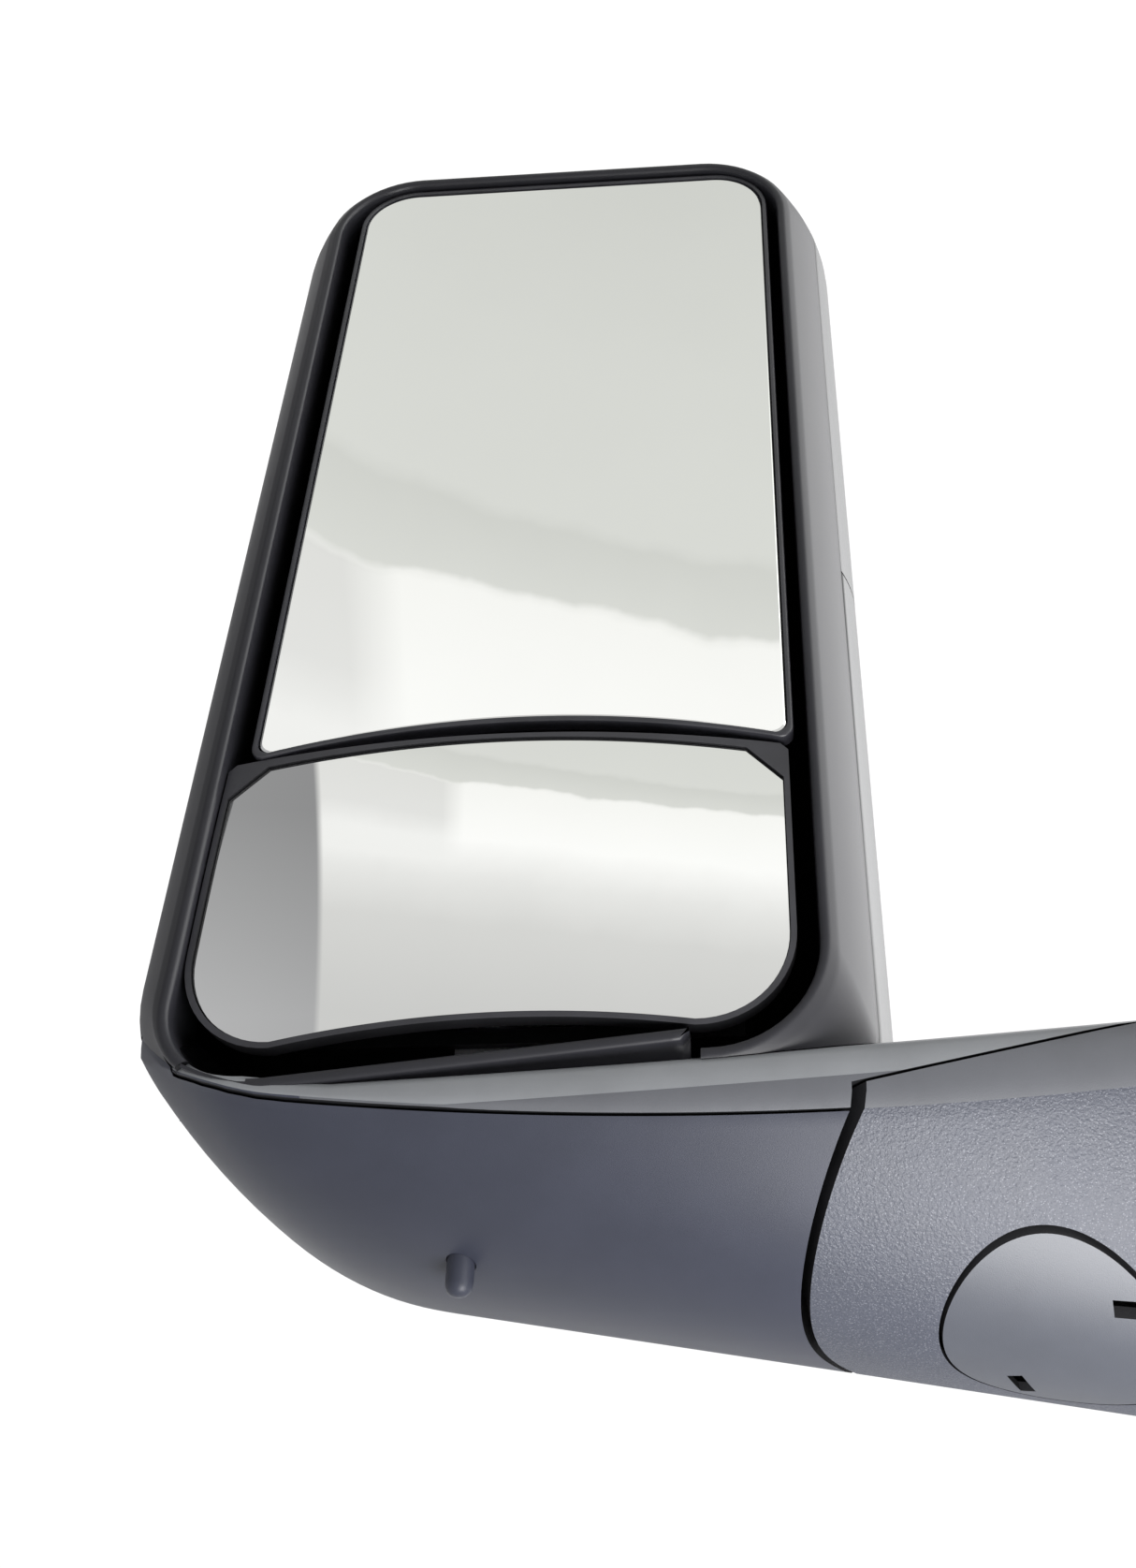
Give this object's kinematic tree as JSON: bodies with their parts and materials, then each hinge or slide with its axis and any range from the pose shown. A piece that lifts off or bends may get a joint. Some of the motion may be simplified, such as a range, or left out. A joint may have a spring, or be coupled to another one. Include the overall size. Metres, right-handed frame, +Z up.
{
  "type": "towing mirror",
  "caption": "Tall door mirror with a flat glass above a convex glass, on an arm that folds about an inclined pivot on a fixed base that bolts to the door.",
  "frame": {"origin": "a point on the aluminium door plate between its three fixings, on the flat face that meets the door", "axes": "+X towards the door, square to it; +Y towards the front of the truck; +Z up"},
  "size_m": [0.4748, 0.1459, 0.6312],
  "materials": {
    "grained_plastic": "moulded black plastic with a fine satin grain",
    "pebbled_plastic": "moulded black plastic with a coarse pebble grain",
    "rim_plastic": "satin black plastic",
    "inner_plastic": "plain black plastic",
    "black_rubber": "matt rubber",
    "cast_aluminium": "die cast, unpolished",
    "plated_steel": "zinc plated",
    "bearing_brass": "turned",
    "silvered_glass": "silvered, clear",
    "heater_foil": "printed foil heating element",
    "motor_casing": "white moulded casing"
  },
  "bodies": {
    "base": {"base_casting": "cast_aluminium", "base_shell": "pebbled_plastic", "base_top_cover": "pebbled_plastic", "pivot_cap": "pebbled_plastic", "mount_insert_1": "bearing_brass", "mount_insert_2": "bearing_brass", "mount_insert_3": "bearing_brass", "door_gasket": "black_rubber", "harness_grommet": "black_rubber", "base_screw_1": "plated_steel", "base_screw_2": "plated_steel", "pivot_bush_upper": "bearing_brass", "pivot_bush_lower": "bearing_brass", "thrust_washer": "bearing_brass", "base_harness": "black_rubber"},
    "head": {"pivot_shaft": "plated_steel", "spring_washer_plate": "plated_steel", "disc_spring_1": "plated_steel", "disc_spring_2": "plated_steel", "disc_spring_3": "plated_steel", "pivot_nut": "plated_steel", "head_casting": "cast_aluminium", "arm_lower_shell": "grained_plastic", "arm_top_cover": "grained_plastic", "arm_screw_1": "plated_steel", "arm_screw_2": "plated_steel", "temperature_sensor": "grained_plastic", "sensor_clip": "inner_plastic", "back_cover_upper": "grained_plastic", "back_cover_lower": "grained_plastic", "cover_screw_1": "plated_steel", "cover_screw_2": "plated_steel", "cover_screw_3": "plated_steel", "cover_screw_4": "plated_steel", "bezel_frame": "rim_plastic", "glass_carrier": "inner_plastic", "upper_actuator_housing": "inner_plastic", "upper_pan_motor": "motor_casing", "upper_tilt_motor": "motor_casing", "lower_actuator_housing": "inner_plastic", "lower_pan_motor": "motor_casing", "lower_tilt_motor": "motor_casing", "head_harness": "black_rubber"},
    "upper_pan": {"upper_gimbal_ring": "plated_steel"},
    "upper_tilt": {"upper_glass_holder": "inner_plastic", "upper_heater_pad": "heater_foil", "upper_mirror_glass": "silvered_glass"},
    "upper_pan_jack": {"upper_pan_jackscrew": "plated_steel"},
    "upper_tilt_jack": {"upper_tilt_jackscrew": "plated_steel"},
    "lower_pan": {"lower_gimbal_ring": "plated_steel"},
    "lower_tilt": {"lower_glass_holder": "inner_plastic", "lower_heater_pad": "heater_foil", "lower_mirror_glass": "silvered_glass"},
    "lower_pan_jack": {"lower_pan_jackscrew": "plated_steel"},
    "lower_tilt_jack": {"lower_tilt_jackscrew": "plated_steel"}
  },
  "joints": [
    {"name": "fold", "type": "hinge", "parent": "base", "child": "head", "pos_m": [-0.1435, -0.007, -0.01], "axis": [-0.1908, 0, 0.9816], "range_deg": [-70, 70]},
    {"name": "upper_pan", "type": "hinge", "parent": "head", "child": "upper_pan", "pos_m": [-0.328, -0.058, 0.366], "axis": [0, 0, 1], "range_deg": [-7, 7]},
    {"name": "upper_tilt", "type": "hinge", "parent": "upper_pan", "child": "upper_tilt", "pos_m": [-0.328, -0.058, 0.366], "axis": [1, 0, 0], "range_deg": [-7, 7]},
    {"name": "upper_pan_jack", "type": "slide", "parent": "head", "child": "upper_pan_jack", "axis": [0, 1, 0], "range_m": [-0.004, 0.004]},
    {"name": "upper_tilt_jack", "type": "slide", "parent": "head", "child": "upper_tilt_jack", "axis": [0, 1, 0], "range_m": [-0.004, 0.004]},
    {"name": "lower_pan", "type": "hinge", "parent": "head", "child": "lower_pan", "pos_m": [-0.328, -0.058, 0.122], "axis": [0, 0, 1], "range_deg": [-4, 4]},
    {"name": "lower_tilt", "type": "hinge", "parent": "lower_pan", "child": "lower_tilt", "pos_m": [-0.328, -0.058, 0.122], "axis": [1, 0, 0], "range_deg": [-4, 4]},
    {"name": "lower_pan_jack", "type": "slide", "parent": "head", "child": "lower_pan_jack", "axis": [0, 1, 0], "range_m": [-0.004, 0.004]},
    {"name": "lower_tilt_jack", "type": "slide", "parent": "head", "child": "lower_tilt_jack", "axis": [0, 1, 0], "range_m": [-0.004, 0.004]}
  ],
  "couplings": [
    {"joint": "upper_pan_jack", "follows": "upper_pan", "m_per_rad": 0.032},
    {"joint": "upper_tilt_jack", "follows": "upper_tilt", "m_per_rad": -0.032},
    {"joint": "lower_pan_jack", "follows": "lower_pan", "m_per_rad": 0.032},
    {"joint": "lower_tilt_jack", "follows": "lower_tilt", "m_per_rad": -0.032}
  ]
}
